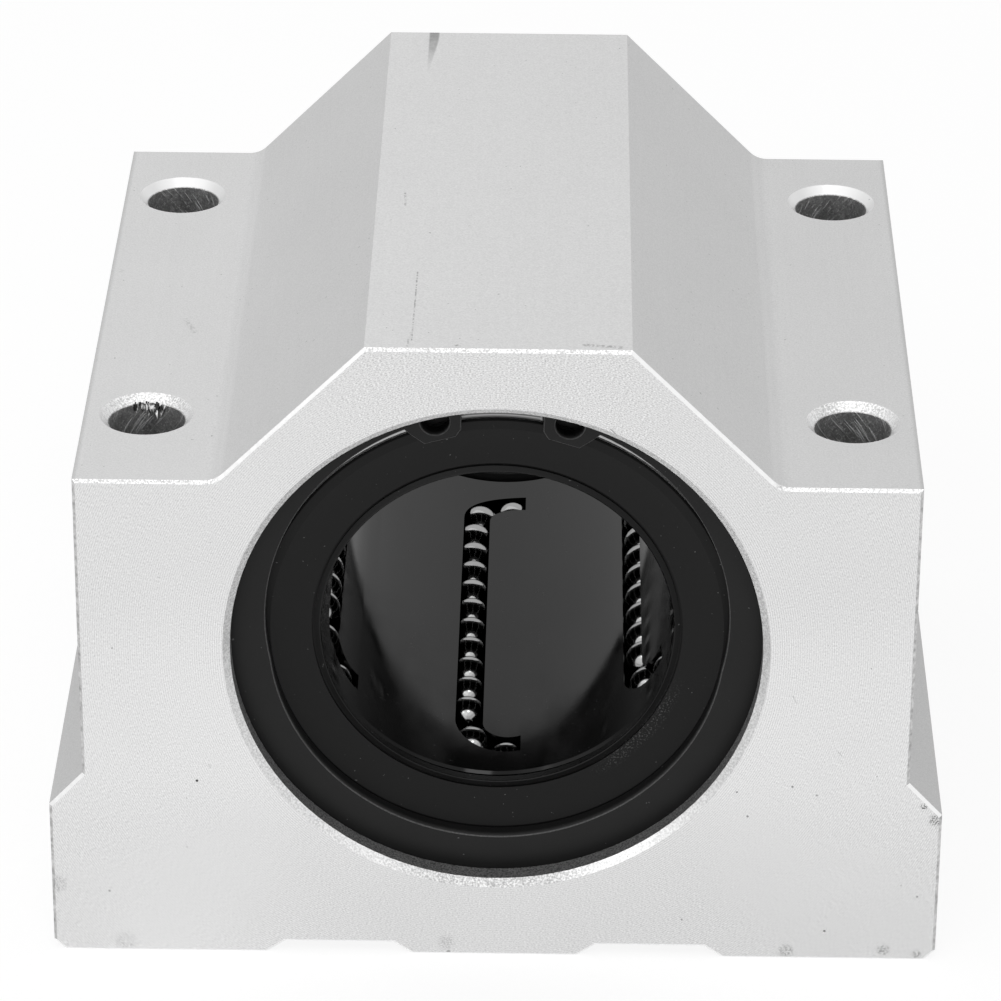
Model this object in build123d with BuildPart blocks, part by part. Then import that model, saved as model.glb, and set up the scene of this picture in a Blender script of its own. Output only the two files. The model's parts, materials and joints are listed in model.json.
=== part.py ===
from build123d import *
import math
import os

os.makedirs("parts", exist_ok=True)

# A linear bearing block: an aluminium housing that carries a recirculating ball bearing for a round shaft.
# Origin: middle of the underside. X runs across the block, Y along the shaft, Z up from the mounting face.

# Housing, millimetres and degrees
block_width = 102.0
block_length = 90.0
block_height = 78.0
shaft_height = 40.0
top_width = 29.3
roof_angle = 45.0
shoulder_width = 94.2
shoulder_height = 61.4
shoulder_fillet = 3.0
waist_height = 23.7
waist_fillet = 1.6
flange_height = 19.5
corner_break = 0.3
end_break = 0.35
foot_chamfer = 1.3
centre_pad_width = 19.0
side_pad_start = 26.4
recess_depth = 1.5
recess_slope = 2.2

# Bolt holes: plain drilled, with the lower part tapped from below
hole_diameter = 8.7
hole_chamfer = 0.98
hole_spacing_x = 80.0
hole_spacing_y = 60.0
hole_setback = 16.6

# Bearing seat and the rings that hold the bearing in it
bearing_diameter = 60.0
bearing_length = 80.0
seat_chamfer = 0.8
seat_gap = 0.015
ring_thickness = 2.0
ring_side_gap = 0.05
ring_groove_depth = 1.5
ring_groove_play = 0.1
ring_edge_gap = 0.05
ring_inner_radius = 25.7
ring_upper_radius = 26.15
ring_upper_lift = 2.6
ring_gap_width = 9.1
ring_turn = 1.0
lug_hole_diameter = 3.3
lug_hole_offset = 7.48
lug_hole_rise = 27.55
lug_tip_offset = 8.58
lug_tip_rise = 24.71
lug_heel_offset = 10.04
lug_heel_rise = 25.73
lug_root_offset = 12.2
lug_root_rise = 27.6
lug_toe_offset = 5.12
lug_toe_rise = 25.72
lug_gap_rise = 26.64
ring_edge_break = 0.12

# Balls and their circuits
shaft_diameter = 40.0
ball_diameter = 4.7625
circuit_count = 6
turn_balls = 3
ball_gap = 0.07
race_gap = 0.05
return_row_radius = 24.3
first_row_angle = -9.5
row_rest_shift = 0.9

# Cage
cage_end_room = 3.5
cage_end_wall = 3.25
cage_inner_radius = 20.45
cage_outer_radius = 24.6
cage_edge_break = 0.3
track_gap = 0.12
window_width = 3.3
window_reach = 6.05

# Bearing sleeve
sleeve_chamfer = 1.0
end_bore_radius = 27.0
end_bore_lead = 0.4
race_ramp = 0.8
return_groove_gap = 0.3
snap_groove_span = 60.6
snap_groove_width = 2.15
snap_groove_depth = 1.5

# Stop rings that keep the cage between them
stop_ring_thickness = 1.0
stop_ring_inner_radius = 23.4
stop_ring_gap_width = 6.0
stop_groove_depth = 0.7
stop_side_gap = 0.05
stop_rim_gap = 0.1

# Shaft seals
seal_recess = 0.3
seal_rim_gap = 0.02
seal_rim_width = 1.3
seal_rim_chamfer = 0.25
seal_dish_depth = 0.6
seal_floor_depth = 0.8
seal_groove_radius = 21.02
seal_groove_width = 0.3
seal_groove_depth = 0.3
lip_set_back = 0.5
lip_edge_round = 0.15
lip_length = 1.15
lip_root_width = 1.1

# Values that follow from the sizes above
seat_radius = bearing_diameter / 2
sleeve_radius = seat_radius - seat_gap
ball_radius = ball_diameter / 2
shaft_radius = shaft_diameter / 2
load_row_radius = shaft_radius + ball_radius
race_radius = load_row_radius + ball_radius + race_gap
turn_radius = (ball_diameter + ball_gap) / (2 * math.sin(math.pi / (2 * turn_balls)))
ball_pitch = math.pi * turn_radius / turn_balls
row_pitch = ball_diameter + ball_gap
track_radius = ball_radius + track_gap
cage_length = bearing_length - 2 * cage_end_room
row_room = cage_length - 2 * (cage_end_wall + turn_radius + track_radius)
row_balls = math.floor(row_room / ball_pitch)
row_length = row_balls * ball_pitch
row_spacing = 2 * turn_radius
row_angle = math.degrees(
    math.acos(
        (load_row_radius**2 + return_row_radius**2 - row_spacing**2)
        / (2 * load_row_radius * return_row_radius)
    )
)
circuit_angle = 360 / circuit_count
hole_row_middle = -block_length / 2 + hole_setback + hole_spacing_y / 2
ring_groove_width = ring_thickness + ring_side_gap + ring_groove_play

# Planes and axis of the bore: a face looked at from the front, and a lengthwise section
bore_face = Plane(origin=(0, 0, shaft_height), x_dir=(1, 0, 0), z_dir=(0, -1, 0))
bore_section = Plane(origin=(0, 0, shaft_height), x_dir=(0, 1, 0), z_dir=(1, 0, 0))
bore_axis = Axis((0, 0, shaft_height), (0, 1, 0))


def finish(builder, name):
    """Name a finished piece and write it."""
    builder.part.label = name
    export_step(builder.part, f"parts/{name}.step")


def bore_point(radius, angle):
    """A point round the bore: the angle is counted from straight down towards +X."""
    turn = math.radians(angle)
    return Vector(radius * math.sin(turn), 0, shaft_height - radius * math.cos(turn))


def circuit_plane(number):
    """The plane of one ball circuit: X from the load row to the return row, Y along the shaft, Z inwards."""
    load_angle = first_row_angle + number * circuit_angle
    load_centre = bore_point(load_row_radius, load_angle)
    return_centre = bore_point(return_row_radius, load_angle + row_angle)
    across = (return_centre - load_centre).normalized()
    middle = (load_centre + return_centre) * 0.5
    return Plane(origin=middle, x_dir=across, z_dir=across.cross(Vector(0, 1, 0)))


def symmetric_outline(half):
    """Close a half outline, given from the middle outwards and back, by its mirror image."""
    return half + [(-along, radius) for along, radius in reversed(half)]


circuit_planes = [circuit_plane(number) for number in range(circuit_count)]

# Housing: one extruded profile, bored, grooved and drilled
roof_foot = top_width / 2 + (block_height - shoulder_height) / math.tan(math.radians(roof_angle))
recess_inner = centre_pad_width / 2
right_side = [
    (top_width / 2, block_height),
    (roof_foot, shoulder_height),
    (shoulder_width / 2, shoulder_height),
    (shoulder_width / 2, waist_height),
    (block_width / 2, flange_height),
    (block_width / 2, foot_chamfer),
    (block_width / 2 - foot_chamfer, 0),
    (side_pad_start, 0),
    (side_pad_start - recess_slope, recess_depth),
    (recess_inner + recess_slope, recess_depth),
    (recess_inner, 0),
]
left_side = [(-across, up) for across, up in reversed(right_side)]
with BuildPart() as housing:
    with BuildSketch(Plane.XZ) as profile:
        with BuildLine():
            Polyline(*right_side, *left_side, close=True)
        make_face()
        corners = profile.vertices()
        at_shoulder = corners.filter_by_position(Axis.Y, shoulder_height - 0.01, shoulder_height + 0.01)
        at_waist = corners.filter_by_position(Axis.Y, waist_height - 0.01, waist_height + 0.01)
        at_flange = corners.filter_by_position(Axis.Y, flange_height - 0.01, flange_height + 0.01)
        at_top = corners.group_by(Axis.Y)[-1]
        fillet(at_shoulder.sort_by(Axis.X)[1:3], radius=shoulder_fillet)
        fillet(at_waist, radius=waist_fillet)
        chamfer(at_shoulder.sort_by(Axis.X)[0::3] + at_flange + at_top, length=corner_break)
    extrude(amount=block_length / 2, both=True)
    ends = housing.faces().filter_by(Axis.Y)
    chamfer(ends.edges(), length=end_break)
    with BuildSketch(bore_face):
        Circle(seat_radius)
    extrude(amount=block_length / 2, both=True, mode=Mode.SUBTRACT)
    mouths = housing.edges().filter_by(GeomType.CIRCLE).group_by(SortBy.RADIUS)[-1]
    chamfer(mouths, length=seat_chamfer)
    groove_start = bearing_length / 2 - ring_groove_play / 2
    for side in (-1, 1):
        with BuildSketch(bore_face.offset(side * (groove_start + ring_groove_width / 2))):
            Circle(seat_radius + ring_groove_depth)
        extrude(amount=ring_groove_width / 2, both=True, mode=Mode.SUBTRACT)
    shoulder_plane = Plane(origin=(0, hole_row_middle, shoulder_height))
    foot_plane = Plane(origin=(0, hole_row_middle, 0), z_dir=(0, 0, -1))
    for face_plane in (shoulder_plane, foot_plane):
        with Locations(face_plane):
            with GridLocations(hole_spacing_x, hole_spacing_y, 2, 2):
                CounterSinkHole(
                    radius=hole_diameter / 2,
                    counter_sink_radius=hole_diameter / 2 + hole_chamfer,
                    depth=shoulder_height,
                    counter_sink_angle=90,
                )
finish(housing, "housing")


def retaining_ring(name, side):
    """Internal spring ring with two lugs at its open end. The side is -1 in front and 1 behind."""
    inner_face = bearing_length / 2 + ring_side_gap
    outer_face = inner_face + ring_thickness
    lug = [
        (ring_gap_width / 2, seat_radius),
        (ring_gap_width / 2, lug_gap_rise),
        (lug_toe_offset, lug_toe_rise),
        (lug_tip_offset, lug_tip_rise),
        (lug_heel_offset, lug_heel_rise),
        (lug_root_offset, lug_root_rise),
    ]
    turn = math.radians(ring_turn)
    ring_face = Plane(
        origin=(0, side * inner_face, shaft_height),
        x_dir=(math.cos(turn), 0, -math.sin(turn)),
        z_dir=(0, -1, 0),
    )
    with BuildPart() as ring:
        with BuildSketch(ring_face):
            Circle(seat_radius + ring_groove_depth - ring_edge_gap)
            Circle(ring_inner_radius, mode=Mode.SUBTRACT)
            with Locations((0, ring_upper_lift)):
                Circle(ring_upper_radius, mode=Mode.SUBTRACT)
            for hand in (-1, 1):
                with BuildLine():
                    Polyline(*[(hand * across, up) for across, up in lug], close=True)
                make_face()
            with Locations((-lug_hole_offset, lug_hole_rise), (lug_hole_offset, lug_hole_rise)):
                Circle(lug_hole_diameter / 2, mode=Mode.SUBTRACT)
            with Locations((0, seat_radius)):
                Rectangle(ring_gap_width, 2 * (seat_radius - lug_tip_rise), mode=Mode.SUBTRACT)
        extrude(amount=-side * ring_thickness)
        shown_face = ring.faces().sort_by(Axis.Y)[0 if side < 0 else -1]
        chamfer(shown_face.edges(), length=ring_edge_break)
    finish(ring, name)


retaining_ring("retaining_ring_front", -1)
retaining_ring("retaining_ring_rear", 1)

# Bearing sleeve: ground steel tube with the ball race, its return grooves and its end bores
race_end = row_length / 2
stop_groove_start = cage_length / 2 + stop_side_gap / 2
stop_groove_end = stop_groove_start + stop_ring_thickness + stop_side_gap
snap_groove_end = snap_groove_span / 2
with BuildPart() as bearing_sleeve:
    with BuildSketch(bore_section):
        with BuildLine():
            Polyline(
                *symmetric_outline(
                    [
                        (race_end - race_ramp, race_radius),
                        (race_end, race_radius + race_ramp),
                        (race_end, end_bore_radius),
                        (stop_groove_start, end_bore_radius),
                        (stop_groove_start, end_bore_radius + stop_groove_depth),
                        (stop_groove_end, end_bore_radius + stop_groove_depth),
                        (stop_groove_end, end_bore_radius),
                        (bearing_length / 2 - end_bore_lead, end_bore_radius),
                        (bearing_length / 2, end_bore_radius + end_bore_lead),
                        (bearing_length / 2, sleeve_radius - sleeve_chamfer),
                        (bearing_length / 2 - sleeve_chamfer, sleeve_radius),
                        (snap_groove_end, sleeve_radius),
                        (snap_groove_end, sleeve_radius - snap_groove_depth),
                        (snap_groove_end - snap_groove_width, sleeve_radius - snap_groove_depth),
                        (snap_groove_end - snap_groove_width, sleeve_radius),
                    ]
                ),
                close=True,
            )
        make_face()
    revolve(axis=bore_axis)
    with BuildSketch(bore_face):
        with PolarLocations(return_row_radius, circuit_count, first_row_angle + row_angle - 90):
            Circle(ball_radius + return_groove_gap)
    extrude(amount=race_end, both=True, mode=Mode.SUBTRACT)
finish(bearing_sleeve, "bearing_sleeve")

# The space that one ball circuit takes out of the cage, drawn with its load row at -X and the shaft at +Z
track_reach = ball_diameter
row_end = Plane.XZ.offset(-row_length / 2)


# Section of the channel: round towards the shaft and open towards the sleeve
with BuildSketch() as channel:
    with BuildLine():
        floor = CenterArc((0, 0), track_radius, 0, 180)
        Polyline(floor @ 1, (-track_radius, -track_reach), (track_radius, -track_reach), floor @ 0)
    make_face()

with BuildPart() as track_space:
    with BuildSketch(row_end):
        with Locations((-turn_radius, 0), (turn_radius, 0)):
            add(channel.sketch)
    extrude(amount=row_length)
    for end in (-1, 1):
        with BuildSketch(Plane.XZ.offset(-end * row_length / 2)):
            with Locations((end * turn_radius, 0)):
                add(channel.sketch)
        turn_axis = Axis((0, end * row_length / 2, 0), (0, 0, 1))
        revolve(axis=turn_axis, revolution_arc=180)
    with BuildSketch():
        SlotCenterToCenter(row_length, row_spacing + window_width, rotation=90)
        SlotCenterToCenter(row_length, row_spacing - window_width, rotation=90, mode=Mode.SUBTRACT)
        with Locations((window_reach - turn_radius, 0)):
            Rectangle(
                row_spacing + window_width,
                row_length + 2 * row_spacing,
                align=(Align.MIN, Align.CENTER),
                mode=Mode.SUBTRACT,
            )
    extrude(amount=load_row_radius - cage_inner_radius + ball_radius)

# Cage: moulded tube that guides the balls of every circuit
with BuildPart() as ball_cage:
    with BuildSketch(bore_face):
        Circle(cage_outer_radius)
        Circle(cage_inner_radius, mode=Mode.SUBTRACT)
    extrude(amount=cage_length / 2, both=True)
    chamfer(ball_cage.faces().filter_by(Axis.Y).edges(), length=cage_edge_break)
    with Locations(*circuit_planes):
        add(track_space.part, mode=Mode.SUBTRACT)
finish(ball_cage, "ball_cage")


def stop_ring(name, side):
    """Open spring ring in the sleeve that keeps the cage from sliding out."""
    with BuildPart() as ring:
        near_face = stop_groove_start + stop_side_gap / 2
        with BuildSketch(bore_face.offset(-side * near_face)):
            Circle(end_bore_radius + stop_groove_depth - stop_rim_gap)
            Circle(stop_ring_inner_radius, mode=Mode.SUBTRACT)
            with Locations((0, -end_bore_radius)):
                Rectangle(stop_ring_gap_width, end_bore_radius, mode=Mode.SUBTRACT)
        extrude(amount=-side * stop_ring_thickness)
    finish(ring, name)


stop_ring("stop_ring_front", -1)
stop_ring("stop_ring_rear", 1)


def shaft_seal(name, side):
    """Moulded rubber seal: a rim in the sleeve's end, a dished face and a lip that wipes the shaft."""
    face = bearing_length / 2 - seal_recess
    back = stop_groove_end + stop_side_gap / 2
    rim_radius = end_bore_radius - seal_rim_gap
    dish_start = rim_radius - seal_rim_width
    dish_middle = (dish_start + seal_groove_radius) / 2
    dish_end = face - seal_floor_depth
    groove_floor = dish_end - seal_groove_depth
    groove_inside = seal_groove_radius - seal_groove_width
    lip_face = face - lip_set_back
    with BuildPart() as seal:
        with BuildSketch(bore_section):
            with BuildLine():
                rim = Polyline(
                    (side * back, rim_radius),
                    (side * (face - seal_rim_chamfer), rim_radius),
                    (side * face, rim_radius - seal_rim_chamfer),
                    (side * face, dish_start),
                )
                dish = ThreePointArc(
                    rim @ 1,
                    (side * (face - seal_dish_depth), dish_middle),
                    (side * dish_end, seal_groove_radius),
                )
                groove = Polyline(
                    dish @ 1,
                    (side * groove_floor, seal_groove_radius),
                    (side * groove_floor, groove_inside),
                    (side * dish_end, groove_inside),
                    (side * lip_face, shaft_radius + lip_edge_round),
                )
                lip_edge = RadiusArc(
                    groove @ 1,
                    (side * (lip_face - lip_edge_round), shaft_radius),
                    side * lip_edge_round,
                )
                Polyline(
                    lip_edge @ 1,
                    (side * (lip_face - lip_length), shaft_radius),
                    (side * back, shaft_radius + lip_root_width),
                    rim @ 0,
                )
            make_face()
        revolve(axis=bore_axis)
    finish(seal, name)


shaft_seal("seal_front", -1)
shaft_seal("seal_rear", 1)


def ball_group(name, plane, centres):
    """Balls of one row or one turn, placed in the plane of their circuit."""
    with BuildPart(plane) as group:
        with Locations(*centres):
            Sphere(ball_radius)
    finish(group, name)


row_places = [(place - (row_balls - 1) / 2) * row_pitch for place in range(row_balls)]
turn_angles = [math.pi * (place + 0.5) / turn_balls for place in range(turn_balls)]
for number, plane in enumerate(circuit_planes, start=1):
    load_centres = [(-turn_radius, along + row_rest_shift) for along in row_places]
    return_centres = [(turn_radius, along - row_rest_shift) for along in row_places]
    ball_group(f"load_balls_{number}", plane, load_centres)
    ball_group(f"return_balls_{number}", plane, return_centres)
    for end, name in ((-1, "front_turn_balls"), (1, "rear_turn_balls")):
        centres = [
            (
                -turn_radius * math.cos(angle),
                end * (row_length / 2 + turn_radius * math.sin(angle)),
            )
            for angle in turn_angles
        ]
        ball_group(f"{name}_{number}", plane, centres)
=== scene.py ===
import json
import math
import random
from types import SimpleNamespace

import bpy
from mathutils import Matrix, Vector


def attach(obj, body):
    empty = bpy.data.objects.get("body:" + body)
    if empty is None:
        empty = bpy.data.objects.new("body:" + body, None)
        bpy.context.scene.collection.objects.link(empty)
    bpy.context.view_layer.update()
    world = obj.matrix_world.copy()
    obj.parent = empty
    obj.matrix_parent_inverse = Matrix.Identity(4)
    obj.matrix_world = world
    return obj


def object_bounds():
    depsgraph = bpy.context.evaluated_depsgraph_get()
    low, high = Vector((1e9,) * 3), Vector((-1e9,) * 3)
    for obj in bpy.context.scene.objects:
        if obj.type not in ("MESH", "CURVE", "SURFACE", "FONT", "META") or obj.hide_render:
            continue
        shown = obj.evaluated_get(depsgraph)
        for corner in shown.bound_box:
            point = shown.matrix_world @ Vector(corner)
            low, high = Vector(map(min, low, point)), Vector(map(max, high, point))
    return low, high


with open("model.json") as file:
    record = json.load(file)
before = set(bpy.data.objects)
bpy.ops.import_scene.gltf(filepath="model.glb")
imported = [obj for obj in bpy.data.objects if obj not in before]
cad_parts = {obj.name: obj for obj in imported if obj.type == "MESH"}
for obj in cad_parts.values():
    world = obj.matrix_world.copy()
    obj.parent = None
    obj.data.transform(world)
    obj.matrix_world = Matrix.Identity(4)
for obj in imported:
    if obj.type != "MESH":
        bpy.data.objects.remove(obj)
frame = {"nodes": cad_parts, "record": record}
cad_low, cad_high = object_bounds()
nodes = frame["nodes"]

# Sizes of the block that the finishes follow, in metres
millimetre = 0.001
mounts = {mount["name"]: mount for mount in frame["record"]["mounts"]}
bore_height = mounts["shaft_bore"]["pos_m"][2]
hole_row_middle = mounts["shoulder_bolts"]["pos_m"][1]
hole_rim_height = mounts["shoulder_bolts"]["pos_m"][2]
hole_dims = mounts["shoulder_bolts"]["dims"]
hole_place_x = hole_dims["spacing_x_mm"] / 2 * millimetre
hole_place_y = hole_dims["spacing_y_mm"] / 2 * millimetre
hole_radius = hole_dims["hole_r_mm"] * millimetre
hole_mouth_width = 0.00098
ring_groove_radius = 0.0315
lip_edge_radius = 0.0200
half_length = cad_high.y
flange_half = cad_high.x
block_height = cad_high.z
shoulder_height = 0.0614
shoulder_half = 0.0471
waist_height = 0.0237
flange_height = 0.0195
top_half = 0.01465
slope_foot = top_half + block_height - shoulder_height

# A face is square to an axis where its normal's share of that axis has passed from the first to the second,
# and a wall that runs along the axis where it has fallen from the first to the second
square_on = (0.97, 0.99)
along_axis = (0.3, 0.2)

# Width in which a field fades at a line, reach of the broken edges, and depth of the zone of a level face
fade = 0.0001
edge_reach = 0.0010
level_depth = 0.0005

# Marks of use on the front face, as places across and up. Scratches: start, end, depth of shade
front_scratch_width = 0.00010
front_scratches = (
    ((0.0339, 0.0341), (0.0334, 0.0352), 0.20),
    ((0.0388, 0.0279), (0.0393, 0.0273), 0.25),
    ((0.0123, 0.0686), (0.0130, 0.0679), 0.45),
)

# Pits in the front face: place, radius, depth of shade
front_pits = (
    ((-0.0340, 0.0230), 0.00022, 0.95),
    ((-0.0325, 0.0250), 0.00030, 0.12),
    ((-0.0444, 0.0081), 0.00022, 0.40),
    ((0.0338, 0.0232), 0.00017, 0.70),
    ((0.0275, 0.0224), 0.00017, 0.60),
    ((0.0288, 0.0192), 0.00019, 0.60),
    ((0.0366, 0.0221), 0.00018, 0.50),
    ((0.0381, 0.0039), 0.00020, 0.75),
    ((0.0486, 0.0087), 0.00018, 0.55),
    ((0.0216, 0.0052), 0.00015, 0.55),
    ((-0.0053, 0.0004), 0.00032, 0.45),
)

# Speckled smudges on the front face: place, radius, depth of shade
front_smudges = (
    ((0.0489, 0.0208), 0.0006, 0.9),
    ((0.0503, 0.0190), 0.0011, 0.8),
    ((0.0450, 0.0014), 0.0010, 0.6),
    ((0.0488, 0.0009), 0.0008, 0.6),
    ((0.0337, 0.0011), 0.0012, 0.5),
    ((-0.0427, 0.0012), 0.0018, 0.25),
    ((-0.0504, 0.0090), 0.0016, 0.35),
    ((-0.0056, 0.0017), 0.0013, 0.28),
)

# Mottled streaks on the roof and the shoulders, as places across and along: start, end, width, depth of shade
top_streaks = (
    ((-0.00935, -0.0248), (-0.00951, -0.0432), 0.00012, 0.45),
    ((-0.01143, -0.0036), (-0.01127, -0.0074), 0.00018, 0.40),
    ((-0.00970, -0.0405), (-0.01000, -0.0445), 0.00020, 0.25),
    ((-0.00480, -0.0437), (-0.00410, -0.0444), 0.00040, 0.45),
    ((0.00900, -0.0434), (0.01380, -0.0440), 0.00045, 0.40),
    ((-0.03750, -0.0034), (-0.03570, -0.0076), 0.00045, 0.22),
    ((-0.03790, -0.0049), (-0.03780, -0.0054), 0.00030, 0.20),
    ((-0.04610, 0.0088), (-0.04600, 0.0100), 0.00070, 0.20),
)


class Field:
    """A number that varies over a surface. Arithmetic on it adds the nodes that work it out."""

    def __init__(self, finish, socket):
        self.finish = finish
        self.socket = socket

    def __add__(self, other):
        return self.finish.math("ADD", self, other)

    __radd__ = __add__

    def __sub__(self, other):
        return self.finish.math("SUBTRACT", self, other)

    def __rsub__(self, other):
        return self.finish.math("SUBTRACT", other, self)

    def __mul__(self, other):
        return self.finish.math("MULTIPLY", self, other)

    __rmul__ = __mul__

    def __abs__(self):
        return self.finish.math("ABSOLUTE", self)


class Finish:
    """A node tree under construction: each method adds nodes and gives back what they put out."""

    def __init__(self, owner):
        owner.use_nodes = True
        self.owner = owner
        self.tree = owner.node_tree
        self.tree.nodes.clear()
        where = self.add("TexCoord")
        self.place = where.outputs["Object"]
        self.facing = where.outputs["Normal"]
        self.towards = where.outputs["Generated"]

    def add(self, kind, feeds=None, **settings):
        made = self.tree.nodes.new("ShaderNode" + kind)
        for key, value in settings.items():
            setattr(made, key, value)
        for key, value in (feeds or {}).items():
            self.feed(made.inputs[key], value)
        return made

    def feed(self, socket, value):
        if isinstance(value, Field):
            value = value.socket
        if isinstance(value, bpy.types.NodeSocket):
            self.tree.links.new(value, socket)
        else:
            socket.default_value = value

    def math(self, operation, *values):
        made = self.add("Math", dict(enumerate(values)), operation=operation)
        return Field(self, made.outputs[0])

    def smallest(self, first, *others):
        for other in others:
            first = self.math("MINIMUM", first, other)
        return first

    def largest(self, first, *others):
        for other in others:
            first = self.math("MAXIMUM", first, other)
        return first

    def reach(self, along, across):
        """The length of a line with these two sides."""
        return self.math("SQRT", along * along + across * across)

    def split(self, vector):
        parts = self.add("SeparateXYZ", {0: vector})
        return [Field(self, parts.outputs[axis]) for axis in "XYZ"]

    def join(self, x, y, z):
        return self.add("CombineXYZ", {"X": x, "Y": y, "Z": z}).outputs[0]

    def stretched(self, x, y, z):
        return self.add("VectorMath", {0: self.place, 1: (x, y, z)}, operation="MULTIPLY").outputs[0]

    def measured(self, operation, vector):
        """The place's distance from a point, or its dot product with a direction."""
        made = self.add("VectorMath", {0: self.place, 1: vector}, operation=operation)
        return Field(self, made.outputs["Value"])

    def noise(self, size, detail=2.0, vector=None):
        """Soft noise about a half, from 0 to 1, with spots about as large as size, in metres."""
        feeds = {"Vector": vector or self.place, "Scale": 1 / size, "Detail": detail}
        return Field(self, self.add("TexNoise", feeds).outputs["Fac"])

    def step(self, value, low, high, top=1.0):
        """0 at low, the top value at high and smooth between."""
        feeds = {"Value": value, "From Min": low, "From Max": high, "To Max": top}
        return Field(self, self.add("MapRange", feeds, interpolation_type="SMOOTHSTEP").outputs[0])

    def between(self, value, low, high):
        """A value from 0 to 1 stretched to lie from low to high."""
        return Field(self, self.add("MapRange", {"Value": value, "To Min": low, "To Max": high}).outputs[0])

    def blend(self, factor, first, second):
        """First where the factor is 0, second where it is 1."""
        return Field(self, self.add("Mix", {0: factor, 2: first, 3: second}, data_type="FLOAT").outputs[0])

    def leaning(self, share):
        """1 on a face that leans, by its normal's share of an axis: not square to the axis nor along it."""
        return self.step(share, 0.5, 0.6) * self.step(share, 0.97, 0.9)

    def grey(self, shade):
        return self.add("CombineColor", {0: shade, 1: shade, 2: shade}).outputs[0]

    def bump(self, height, distance):
        return self.add("Bump", {"Height": height, "Distance": distance}).outputs[0]

    def surface(self, feeds):
        shader = self.add("BsdfPrincipled", feeds)
        self.add("OutputMaterial", {"Surface": shader.outputs[0]})
        return self.owner

    def spot(self, centre, radius, depth):
        """The depth near a centre, falling to 0 at the radius."""
        return self.step(self.measured("DISTANCE", centre), radius, radius * 0.4, depth)

    def line(self, start, end, normal, width, depth):
        """The depth on a thin straight line between two points of a flat face, 0 elsewhere."""
        run = (end - start).normalized()
        side = run.cross(normal)
        aside = abs(self.measured("DOT_PRODUCT", side) - side.dot(start))
        along = self.measured("DOT_PRODUCT", run)
        first = run.dot(start)
        last = run.dot(end)
        within = self.step(along, first, first + width) * self.step(along, last, last - width)
        return self.step(aside, width, width / 3, depth) * within


def material(name):
    return bpy.data.materials.new(name)


def total(fields):
    """Several fields added up."""
    first, *others = fields
    for other in others:
        first = first + other
    return first


def on_front(place):
    """A place on the front face, from its two coordinates across and up."""
    return Vector((place[0], -half_length, place[1]))


def on_level(place):
    """A place on a level face, from its two coordinates across and along."""
    return Vector((place[0], place[1], 0))


def inside_outline(f, across, z):
    """How far a place on an end face is from its outline, which is that of three forms together."""
    from_shoulder = f.smallest(shoulder_half - across, shoulder_height - z)
    from_slope = (slope_foot + shoulder_height - across - z) * math.sqrt(0.5)
    from_roof = f.smallest(from_slope, block_height - z, slope_foot - across)
    waist_run = flange_half - shoulder_half
    waist_drop = waist_height - flange_height
    waist_reach = math.hypot(waist_run, waist_drop)
    from_waist = (shoulder_half - across) * (waist_drop / waist_reach)
    from_waist = from_waist + (waist_height - z) * (waist_run / waist_reach)
    from_flange = f.smallest(from_waist, flange_half - across)
    return f.largest(from_shoulder, from_roof, from_flange)


def housing_places(f):
    """Coordinates on the block, and fields that are 1 on a kind of face or in a region and 0 elsewhere."""
    at = SimpleNamespace()
    at.x, at.y, at.z = f.split(f.place)
    at.normal_x, at.normal_y, at.normal_z = f.split(f.facing)
    at.across = abs(at.x)
    at.radius = f.reach(at.x, at.z - bore_height)
    at.from_edge = inside_outline(f, at.across, at.z)

    # The ends, their broken edges, and the bore with its chamfer and groove
    end_facing = abs(at.normal_y)
    from_end = half_length - abs(at.y)
    bore_reach = ring_groove_radius + fade
    at.end_face = f.step(end_facing, *square_on)
    at.broken_edge = f.leaning(end_facing) * f.step(from_end, edge_reach, edge_reach - fade)
    at.in_bore = f.step(at.radius, bore_reach + fade, bore_reach) * f.step(end_facing, *along_axis)
    at.beside_bore = f.step(at.radius, bore_reach, bore_reach - 2 * fade)

    # The bolt holes and their mouths
    at.from_hole_x = at.across - hole_place_x
    at.from_hole_y = abs(at.y - hole_row_middle) - hole_place_y
    hole_distance = f.reach(at.from_hole_x, at.from_hole_y)
    mouth_edge = hole_radius + hole_mouth_width
    around_hole = f.step(hole_distance, mouth_edge + fade, mouth_edge)
    at.in_hole = f.step(hole_distance, hole_radius + fade, hole_radius + fade / 2)
    at.hole_mouth = around_hole * f.step(abs(at.normal_z), 0.97, 0.9) * (1.0 - at.in_hole)

    # The level faces on top, and broad regions of the ends
    level = f.step(at.normal_z, *square_on)
    at.roof = f.step(at.z, block_height - 2 * level_depth, block_height - level_depth) * level
    at.level_top = f.step(at.z, shoulder_height - 2 * level_depth, shoulder_height - level_depth) * level
    at.rightward = f.step(at.x, -flange_half, flange_half)
    at.low_middle = f.step(at.z, 0.026, 0.004) * f.step(at.across, 0.026, 0.010)
    at.high_middle = f.step(at.z, 0.056, 0.070) * f.step(at.across, 0.024, 0.012)
    at.front = at.end_face * f.step(at.y, 0.0, -0.01)
    return at


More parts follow.
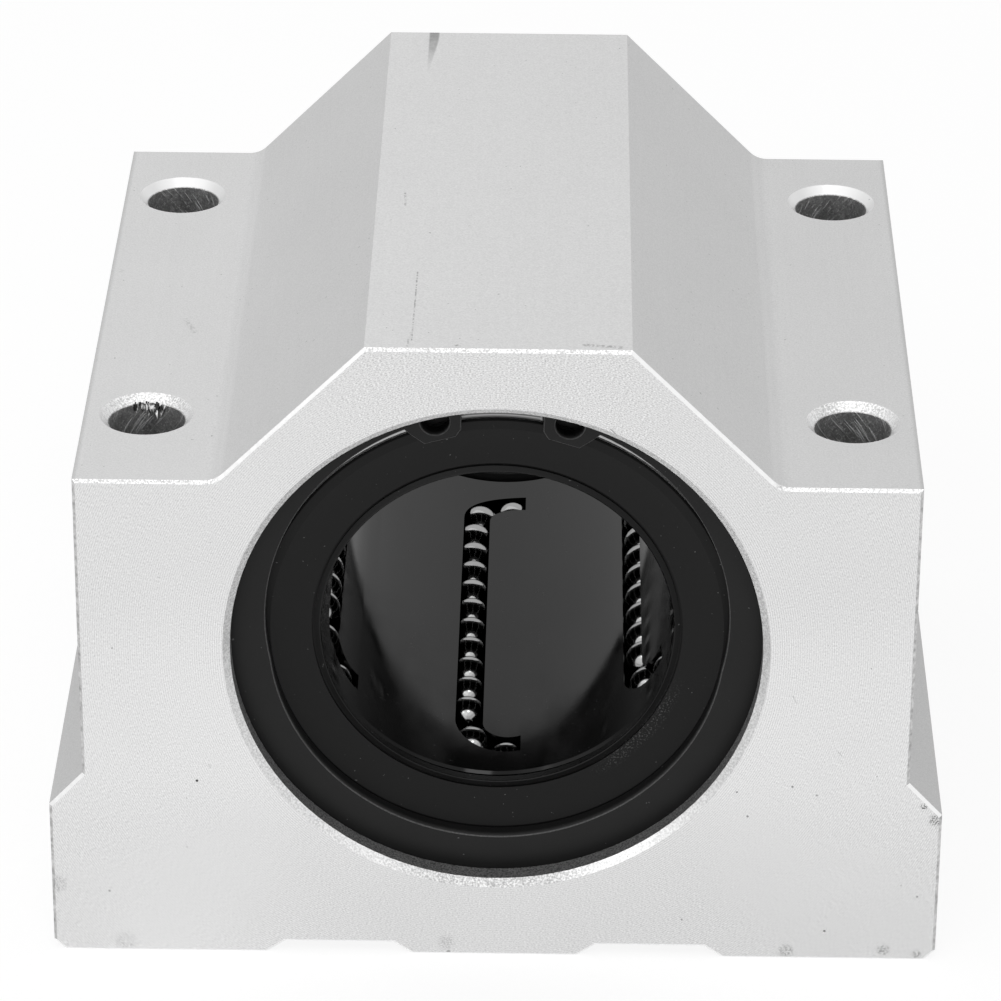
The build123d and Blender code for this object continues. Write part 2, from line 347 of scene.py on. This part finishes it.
def housing_grain(f, at):
    """The metal's grain: speckle, clouds, drawing lines along the block, and turning marks about the bore."""
    turning_pitch = 0.00025
    turning_wander = 14.0
    faced_radius = 0.036
    turned_stretch = 0.42
    grain = SimpleNamespace()
    grain.fine = f.noise(0.00019, 2.0) - 0.5
    grain.sparkle = f.step(f.noise(0.00022, 2.0), 0.30, 0.70)
    grain.coarse = f.noise(0.0009, 3.0)
    grain.cloud = f.noise(0.014, 4.0)
    grain.drawn = f.noise(0.0006, 2.0, f.stretched(1, 0.02, 1)) - 0.5
    around = f.math("ARCTAN2", at.z - bore_height, at.x) * (faced_radius * turned_stretch)
    grain.turned = f.noise(0.00010, 2.0, f.join(at.radius, around, 0.0)) - 0.5
    wander = f.noise(0.020, 1.0) * turning_wander
    grain.marks = f.math("SINE", at.radius * (2 * math.pi / turning_pitch) + wander)

    # The turning marks are deepest near the bore and faint at the middle of the foot and the roof
    near_bore = f.step(at.radius, ring_groove_radius + 0.0035, ring_groove_radius)
    faint = 1.0 - 0.6 * f.largest(at.low_middle, at.high_middle)
    grain.even_depth = (0.055 + 0.020 * near_bore) * faint
    grain.mark_depth = grain.even_depth * f.between(f.noise(0.0012, 3.0), 0.0, 2.0)
    grain.specks = f.step(f.noise(0.00050, 1.0), 0.755, 0.79) * f.step(f.noise(0.009, 1.0), 0.45, 0.58)
    return grain


def skin_shade(f, at, grain):
    """The drawn skin, with painted shade and light: darker towards the right, lighter on the roof and its
    slopes, darker on the waists.
    """
    on_slope = f.step(at.normal_z, 0.95, 0.80) * f.step(at.normal_z, 0.3, 0.6)
    painted_slope_shade = f.between(f.step(at.z, 0.03, 0.05), -0.030, 0.055)
    shade = f.between(grain.cloud, 0.63, 0.66) + grain.fine * 0.24 + grain.drawn * 0.02
    # Painted shade and light: the right side darker, the roof lighter, leaning faces darker low down and
    # lighter high up
    return shade - at.rightward * 0.042 + at.roof * 0.035 + on_slope * painted_slope_shade


def end_shade(f, at, grain):
    """The faced ends: turning marks and speckle, with painted shade towards the right and low at the right,
    and painted light in a band above that.
    """
    low_right = f.step(at.z, 0.022, 0.002) * f.step(at.x, -0.045, -0.010)
    painted_light_band = f.step(at.z, 0.050, 0.036) * f.step(at.z, 0.016, 0.026)
    shade = f.between(grain.cloud, 0.79, 0.83) + grain.turned * f.between(at.high_middle, 0.60, 1.15)
    shade = shade + grain.fine * 0.12 + grain.marks * grain.mark_depth
    # Painted shade towards the right and low at the right, and a painted lighter band above it
    return shade - at.rightward * 0.03 - low_right * 0.060 + painted_light_band * 0.030


def cut_shade(f, at, grain):
    """The broken edges: bright, speckled in the bore and where they look up, rough at the sides; how dark
    each is by the way it faces is painted shade.
    """
    looking_up = f.step(at.normal_z, 0.52, 0.68) * (1.0 - at.beside_bore * f.step(at.across, 0.005, 0.016))
    upright = f.step(abs(at.normal_x), 0.58, 0.68) * (1.0 - at.beside_bore)
    # Painted shade by facing: darker where the edges look up and in the bore, dark and rough at the upright
    # sides
    darkest = f.blend(at.beside_bore, 0.42, 0.30)
    palest = f.blend(at.beside_bore, 0.84, 0.64)
    bright = f.between(grain.coarse, 0.90, 1.0)
    leaning = f.blend(at.beside_bore, bright, f.between(grain.sparkle, 0.66, 0.92))
    shade = f.blend(looking_up, leaning, f.between(grain.sparkle, darkest, palest))
    return f.blend(upright, shade, f.between(f.noise(0.0006, 3.0), 0.10, 1.0))


def mouth_shade(f, at, grain):
    """The countersunk mouths of the bolt holes: speckled at the front holes, plain at the rear ones, and
    painted shade darker where they face ahead.
    """
    looking_ahead = f.step(at.normal_y, -0.15, -0.60)
    speckle = f.blend(f.step(at.y, -0.01, 0.01), grain.sparkle, 0.62)
    # Painted shade: the mouths are darker where they face ahead
    return f.between(speckle, f.blend(looking_ahead, 0.70, 0.44), f.blend(looking_ahead, 0.90, 0.84))


def drill_scores(f, at):
    """Slanting scores on the walls of the bolt holes: the deep ones, and the web of them all."""
    turn = f.math("ARCTAN2", at.from_hole_y, at.from_hole_x) * hole_radius
    slanting = f.join(turn * 0.8 + at.z * 0.6, (at.z * 0.8 - turn * 0.6) * 0.08, 0.0)
    crossing = f.join(turn * 0.7 - at.z * 0.7, (at.z * 0.7 + turn * 0.7) * 0.15, 0.0)
    deep = f.step(f.noise(0.00032, 2.0, slanting), 0.54, 0.68)
    web = f.largest(deep, f.step(f.noise(0.00040, 2.0, crossing), 0.58, 0.74, 0.8))
    return deep, f.largest(web, f.step(f.noise(0.00022, 1.0), 0.58, 0.72, 0.9))


def front_marks(f, at, grain):
    """Scratches, pits and smudges on the front face: how much darker it is there."""
    ahead = Vector((0, -1, 0))
    marks = [
        f.line(on_front(start), on_front(end), ahead, front_scratch_width, depth)
        for start, end, depth in front_scratches
    ]
    marks += [f.spot(on_front(place), radius, depth) for place, radius, depth in front_pits]
    smudges = total(f.spot(on_front(place), radius, depth) for place, radius, depth in front_smudges)
    speckle = f.step(grain.fine + 0.5, 0.42, 0.66)
    return (total(marks) + smudges * speckle) * at.front


def top_marks(f, at, grain):
    """Streaks on the roof and the shoulders, and a painted shade line along their outer edges: how much
    darker it is there.
    """
    upward = Vector((0, 0, 1))
    mottle = f.step(f.noise(0.0004, 2.0), 0.40, 0.62)
    streaks = total(
        f.line(on_level(start), on_level(end), upward, width, depth)
        for start, end, width, depth in top_streaks
    )
    # A darker line along the shoulders' outer edges: painted shade of the rounded edge
    painted_edge_shade = f.step(shoulder_half - at.across, 0.0006, 0.0001)

    # The rear streak is a wedge that starts from a straight side and widens towards the rear edge
    wedge_side = -0.00985
    toward_rear = f.step(at.y, 0.031, 0.0445)
    wedge_half = f.between(toward_rear, 0.0001, 0.0006)
    from_side = abs(at.x - wedge_side - wedge_half) - wedge_half
    wedge = f.step(from_side, 0.00012, -0.00012) * at.roof * toward_rear * f.between(grain.coarse, 0.30, 0.65)
    return (streaks * mottle + painted_edge_shade * 0.16) * at.level_top + wedge


def housing_finish():
    """Aluminium: smooth drawn skin, faced ends with turning marks, bright broken edges and drilled holes."""
    f = Finish(material("anodised_aluminium"))
    at = housing_places(f)
    grain = housing_grain(f, at)
    deep_scores, web = drill_scores(f, at)

    # Shade, from the broad faces to the edges, the holes and the marks of use
    # A pale band along the outline of the ends: a painted highlight of the broken edges
    rim_width = f.between(grain.coarse, 0.0, 0.0008)
    rim = f.step(at.from_edge, rim_width, 0.0) * at.end_face
    shade = f.blend(at.end_face, skin_shade(f, at, grain), end_shade(f, at, grain))
    shade = f.blend(rim * 0.75, shade, f.between(grain.fine + 0.5, 0.80, 1.05))
    shade = f.blend(at.broken_edge, shade, cut_shade(f, at, grain))
    shade = f.blend(at.hole_mouth, shade, mouth_shade(f, at, grain))
    # The drilled walls: pale slanting scores on a dark ground, the dark ground painted shade in the holes
    shade = f.blend(at.in_hole, shade, f.between(f.noise(0.0003, 3.0), 0.14, 0.60) + web * 0.34)
    # The bore's wall inside the chamfer: painted shade, dark and speckled
    shade = f.blend(at.in_bore, shade, f.between(grain.sparkle, 0.10, 0.28))
    shade = shade * (1.0 - grain.specks * 0.45) * (1.0 - front_marks(f, at, grain))
    shade = shade * (1.0 - top_marks(f, at, grain))

    # Gloss: the cut edges are smoother, but not where they look down, and the bore is dull
    looking_down = f.step(at.normal_z, 0.05, -0.25)
    rough = f.blend(at.end_face, 0.52, 0.46) + (grain.coarse - 0.5) * 0.12
    rough = f.blend(f.largest(at.broken_edge, at.hole_mouth), rough, f.blend(looking_down, 0.40, 0.90))
    rough = f.blend(at.in_bore, rough, 0.80)

    # Relief, in hundredths of a millimetre
    turned = grain.fine + grain.marks * grain.even_depth * 3.0
    relief = f.blend(at.end_face, grain.fine + grain.drawn * 0.3, turned)
    relief = f.blend(at.broken_edge, relief, grain.coarse * 4.0)
    relief = f.blend(at.in_hole, relief, deep_scores * 4.0)
    return f.surface(
        {"Base Color": f.grey(shade), "Metallic": 0.90, "Roughness": rough, "Normal": f.bump(relief, 0.00001)}
    )


def ring_finish():
    """Blackened spring steel, satin and dusty, with a painted highlight, partly rubbed wear, on its broken
    edge and a painted sheen just down its walls.
    """
    f = Finish(material("blackened_spring_steel"))
    y = f.split(f.place)[1]
    end_facing = abs(f.split(f.facing)[1])
    fine = f.noise(0.00025, 3.0)
    cloud = f.noise(0.006, 3.0)
    dust = f.step(f.noise(0.00045, 1.0), 0.78, 0.81) * f.step(cloud, 0.45, 0.55)
    # The pale broken edge is a painted highlight, partly rubbed wear; the pale band down the walls is a
    # painted sheen
    edge = f.leaning(end_facing) * f.between(fine, 0.0, 0.16)
    wall = f.step(end_facing, *along_axis) * f.step(abs(y), 0.0410, 0.0419)
    shade = f.between(cloud, 0.006, 0.011) + dust * 0.10 + edge + wall * 0.05
    rough = f.between(fine, 0.36, 0.54)
    return f.surface(
        {"Base Color": f.grey(shade), "IOR": 1.33, "Roughness": rough, "Normal": f.bump(fine, 0.000006)}
    )


def sleeve_finish():
    """Ground steel: bright ends, turned lines between the retaining ring's lugs and painted shade behind
    them.
    """
    f = Finish(material("ground_steel"))
    line_pitch = 0.0005
    x, _, z = f.split(f.place)
    across = abs(x)
    fine = f.noise(0.0003, 3.0)
    cloud = f.noise(0.005, 3.0)
    between_lugs = f.step(across, 0.0050, 0.0045)
    painted_shade_behind_lugs = f.step(across, 0.0047, 0.0050) * f.step(across, 0.0102, 0.0098)
    lines = f.step(f.math("SINE", f.reach(x, z - bore_height) * (2 * math.pi / line_pitch)), 0.3, 0.9)
    shade = f.blend(between_lugs, f.between(cloud, 0.40, 0.50), f.between(lines, 0.14, 0.34))
    # Painted shade behind the lugs, where the sleeve's end shows dark through the lug holes
    shade = shade * (1.0 - painted_shade_behind_lugs * 0.95)
    rough = f.between(fine, 0.30, 0.45)
    return f.surface(
        {"Base Color": f.grey(shade), "Metallic": 1.0, "Roughness": rough, "Normal": f.bump(fine, 0.000001)}
    )


def seal_finish():
    """Black rubber, matte and dusty, with pale powder low at the right beside a polished lip."""
    f = Finish(material("black_rubber"))
    powder_radius = lip_edge_radius + 0.0016
    x, _, z = f.split(f.place)
    radius = f.reach(x, z - bore_height)
    fine = f.noise(0.0003, 3.0)
    cloud = f.noise(0.004, 3.0)
    dust = f.step(f.noise(0.00035, 1.0), 0.765, 0.80) * f.step(cloud, 0.42, 0.58)
    beside_lip = f.step(abs(radius - powder_radius), 0.0012, 0.0003)
    low_right = f.step(x, 0.0100, 0.0150) * f.step(z, 0.0345, 0.0290)
    powder = f.step(f.noise(0.00022, 2.0), 0.52, 0.68) * beside_lip * low_right
    shade = f.between(cloud, 0.004, 0.008) + dust * 0.16 + powder * 0.08
    lip = f.step(radius, lip_edge_radius + 0.0003, lip_edge_radius + 0.0001)
    rough = f.blend(lip, f.between(cloud, 0.42, 0.56), 0.22)
    return f.surface(
        {"Base Color": f.grey(shade), "IOR": 1.30, "Roughness": rough, "Normal": f.bump(fine, 0.000006)}
    )


def cage_finish():
    """Glossy black moulded plastic, lightly smeared with oil."""
    f = Finish(material("black_moulding"))
    smear = f.noise(0.008, 4.0, f.stretched(1, 0.45, 1))
    fine = f.noise(0.0005, 2.0)
    spots = f.step(f.noise(0.0006, 2.0), 0.66, 0.74) * f.step(f.noise(0.006, 2.0), 0.52, 0.64)
    shade = f.between(smear, 0.001, 0.002) + spots * 0.05
    rough = f.between(f.step(smear, 0.35, 0.7), 0.08, 0.20)
    return f.surface(
        {"Base Color": f.grey(shade), "IOR": 1.25, "Roughness": rough, "Normal": f.bump(fine, 0.000001)}
    )


def burr_finish():
    """Torn aluminium: dark and bright side by side, the dark patches painted shade of the gaps between the
    blades.
    """
    f = Finish(material("torn_aluminium"))
    fine = f.noise(0.0002, 2.0)
    torn = f.step(f.noise(0.00055, 2.0, f.stretched(1, 1, 0.4)), 0.44, 0.58)
    # The dark patches are painted shade of the gaps between the torn blades
    shade = f.between(torn, 0.03, 0.80) * f.between(fine, 0.6, 1.2)
    rough = f.between(fine, 0.35, 0.55)
    return f.surface(
        {"Base Color": f.grey(shade), "Metallic": 0.90, "Roughness": rough, "Normal": f.bump(fine, 0.00001)}
    )


def steel_finish(name, dark, light, smooth, rough, grain):
    """Bare steel with a fine grain: drawn, or polished."""
    f = Finish(material(name))
    fine = f.noise(grain, 3.0)
    cloud = f.noise(0.005, 3.0)
    return f.surface(
        {
            "Base Color": f.grey(f.between(cloud, dark, light)),
            "Metallic": 1.0,
            "Roughness": f.between(fine, smooth, rough),
            "Normal": f.bump(fine, 0.000001),
        }
    )


finishes = {
    "housing": housing_finish(),
    "retaining_ring": ring_finish(),
    "seal": seal_finish(),
    "ball_cage": cage_finish(),
    "bearing_sleeve": sleeve_finish(),
    "stop_ring": steel_finish(
        "plain_spring_steel", dark=0.35, light=0.45, smooth=0.30, rough=0.42, grain=0.0003
    ),
    "balls": steel_finish("polished_steel", dark=0.31, light=0.36, smooth=0.10, rough=0.14, grain=0.0010),
}
for name, node in nodes.items():
    kind = next(kind for kind in finishes if kind in name)
    node.data.materials.clear()
    node.data.materials.append(finishes[kind])

# Burr that the drill left at the rear rim of the front left hole: small torn blades, closed and tapered,
# along an arc in radians about the hole's axis, measured from straight behind it
draw = random.Random(7)
blade_count = 34
arc_start = -0.42
arc_length = 0.80
blade_outer = 0.00006
blade_inner = 0.00008
rim_radius = hole_radius + 0.00004
burr_points = []
burr_faces = []
for number in range(blade_count):
    angle = arc_start + arc_length * number / (blade_count - 1) + draw.uniform(-0.03, 0.03)
    outward = Vector((math.sin(angle), math.cos(angle), 0))
    sideways = Vector((math.cos(angle), -math.sin(angle), 0))
    root_height = hole_rim_height + draw.uniform(-0.00035, 0.00010)
    root = Vector((-hole_place_x, hole_row_middle - hole_place_y, root_height)) + outward * rim_radius
    length = 0.0002 + 0.0012 * draw.random() ** 2
    width = draw.uniform(0.00006, 0.00022)
    lean = sideways * draw.uniform(-0.0004, 0.0004) - outward * length * draw.uniform(0.4, 1.0)
    lift = Vector((0, 0, draw.uniform(0.0001, 0.0004)))
    first = len(burr_points)
    burr_points += [
        root - sideways * width + outward * blade_outer,
        root + sideways * width + outward * blade_outer,
        root + sideways * width - outward * blade_inner + lift,
        root - sideways * width - outward * blade_inner + lift,
        root + lean - Vector((0, 0, length)),
    ]
    burr_faces += [
        (first, first + 3, first + 2, first + 1),
        (first, first + 1, first + 4),
        (first + 1, first + 2, first + 4),
        (first + 2, first + 3, first + 4),
        (first + 3, first, first + 4),
    ]
burr_mesh = bpy.data.meshes.new("hole_burr")
burr_mesh.from_pydata([tuple(point) for point in burr_points], [], burr_faces)
burr_mesh.materials.append(burr_finish())
burr = bpy.data.objects.new("hole_burr", burr_mesh)
bpy.context.scene.collection.objects.link(burr)
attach(burr, "block")

# Camera where the photograph was taken: turned left, tipped down and rolled by small measured angles
camera_place = Vector((0.0061697, -0.5506123, 0.3250202))
camera_yaw = -0.0115
camera_pitch = 0.4835
camera_roll = 0.0069
ahead = Vector(
    (
        math.sin(camera_yaw) * math.cos(camera_pitch),
        math.cos(camera_yaw) * math.cos(camera_pitch),
        -math.sin(camera_pitch),
    )
)
level_right = Vector((math.cos(camera_yaw), -math.sin(camera_yaw), 0))
level_up = level_right.cross(ahead)
right = level_right * math.cos(camera_roll) + level_up * math.sin(camera_roll)
up = level_up * math.cos(camera_roll) - level_right * math.sin(camera_roll)
camera = bpy.data.objects.new("camera", bpy.data.cameras.new("camera"))
camera.data.lens = 185.80
camera.data.sensor_width = 36
camera.data.clip_start = 0.01
camera.data.clip_end = 20
camera.matrix_world = Matrix.Translation(camera_place) @ Matrix((right, up, -ahead)).transposed().to_4x4()
bpy.context.scene.collection.objects.link(camera)
bpy.context.scene.camera = camera


def softbox(name, place, width, height, power):
    """A rectangular lamp that looks at the middle of the bore."""
    light = bpy.data.lights.new(name, "AREA")
    light.shape = "RECTANGLE"
    light.size = width
    light.size_y = height
    light.energy = power
    lamp = bpy.data.objects.new(name, light)
    towards = Vector((0, 0, bore_height)) - Vector(place)
    lamp.rotation_euler = towards.to_track_quat("-Z", "Y").to_euler()
    lamp.location = place
    bpy.context.scene.collection.objects.link(lamp)


softbox("overhead_light", place=(-0.1, -0.15, 1.1), width=2.4, height=2.0, power=6.2)
softbox("front_light", place=(-0.7, -1.1, 0.8), width=1.5, height=1.5, power=3.4)
softbox("right_glint", place=(0.14, -0.62, 1.0), width=0.22, height=0.17, power=0.52)
softbox("left_glint", place=(-0.42, -0.66, 0.9), width=0.12, height=0.12, power=0.14)

# White surroundings: plain white to the camera. As light and in reflections they are darker low down, and
# less so towards the right
sky = Finish(bpy.data.worlds.new("studio"))
bpy.context.scene.world = sky.owner
aim_x, _, aim_z = sky.split(sky.towards)
high = sky.step(aim_z, -0.10, 0.55)
to_right = sky.step(aim_x, 0.55, 0.90)
level = sky.between(high, sky.between(to_right, 0.62, 0.95), 1.0)
path = sky.add("LightPath")
soft_light = sky.add("Background", {"Color": sky.grey(level), "Strength": 0.45})
mirrored = sky.add("Background", {"Color": sky.grey(level), "Strength": 1.0})
seen = sky.add("Background", {"Color": (1.0, 1.0, 1.0, 1.0), "Strength": 1.0})
in_gloss = sky.math("MAXIMUM", path.outputs["Is Glossy Ray"], path.outputs["Is Transmission Ray"])
lit = sky.add("MixShader", {0: in_gloss, 1: soft_light.outputs[0], 2: mirrored.outputs[0]})
shown = sky.add("MixShader", {0: path.outputs["Is Camera Ray"], 1: lit.outputs[0], 2: seen.outputs[0]})
sky.add("OutputWorld", {"Surface": shown.outputs[0]})

# Floor: pale, white where the camera sees it lit, with the block's own soft shadow. In reflections it is
# darker behind the block
floor_reach = 4.0
floor_mesh = bpy.data.meshes.new("floor")
floor_mesh.from_pydata(
    [
        (-floor_reach, -floor_reach, 0),
        (floor_reach, -floor_reach, 0),
        (floor_reach, floor_reach, 0),
        (-floor_reach, floor_reach, 0),
    ],
    [],
    [(0, 1, 2, 3)],
)
floor = bpy.data.objects.new("floor", floor_mesh)
bpy.context.scene.collection.objects.link(floor)
f = Finish(material("pale_floor"))
paint = f.add("BsdfDiffuse", {"Color": (0.80, 0.80, 0.80, 1.0)})
glow = f.add("Emission", {"Color": (1.0, 1.0, 1.0, 1.0), "Strength": 0.80})
shadowed = f.add("BsdfDiffuse", {"Color": (0.26, 0.26, 0.26, 1.0)})
seen_floor = f.add("AddShader", {0: glow.outputs[0], 1: shadowed.outputs[0]})
to_rear = f.step(f.split(f.place)[1], 0.05, 0.20)
mirrored_shade = f.between(to_rear, 1.0, 0.58)
mirrored_floor = f.add("Emission", {"Color": f.grey(mirrored_shade), "Strength": 1.0})
path = f.add("LightPath")
in_gloss = f.largest(path.outputs["Is Glossy Ray"], path.outputs["Is Transmission Ray"])
unseen_floor = f.add("MixShader", {0: in_gloss, 1: paint.outputs[0], 2: mirrored_floor.outputs[0]})
floor_choice = f.add(
    "MixShader", {0: path.outputs["Is Camera Ray"], 1: unseen_floor.outputs[0], 2: seen_floor.outputs[0]}
)
f.add("OutputMaterial", {"Surface": floor_choice.outputs[0]})
floor_mesh.materials.append(f.owner)

bpy.context.scene.view_settings.view_transform = "Standard"
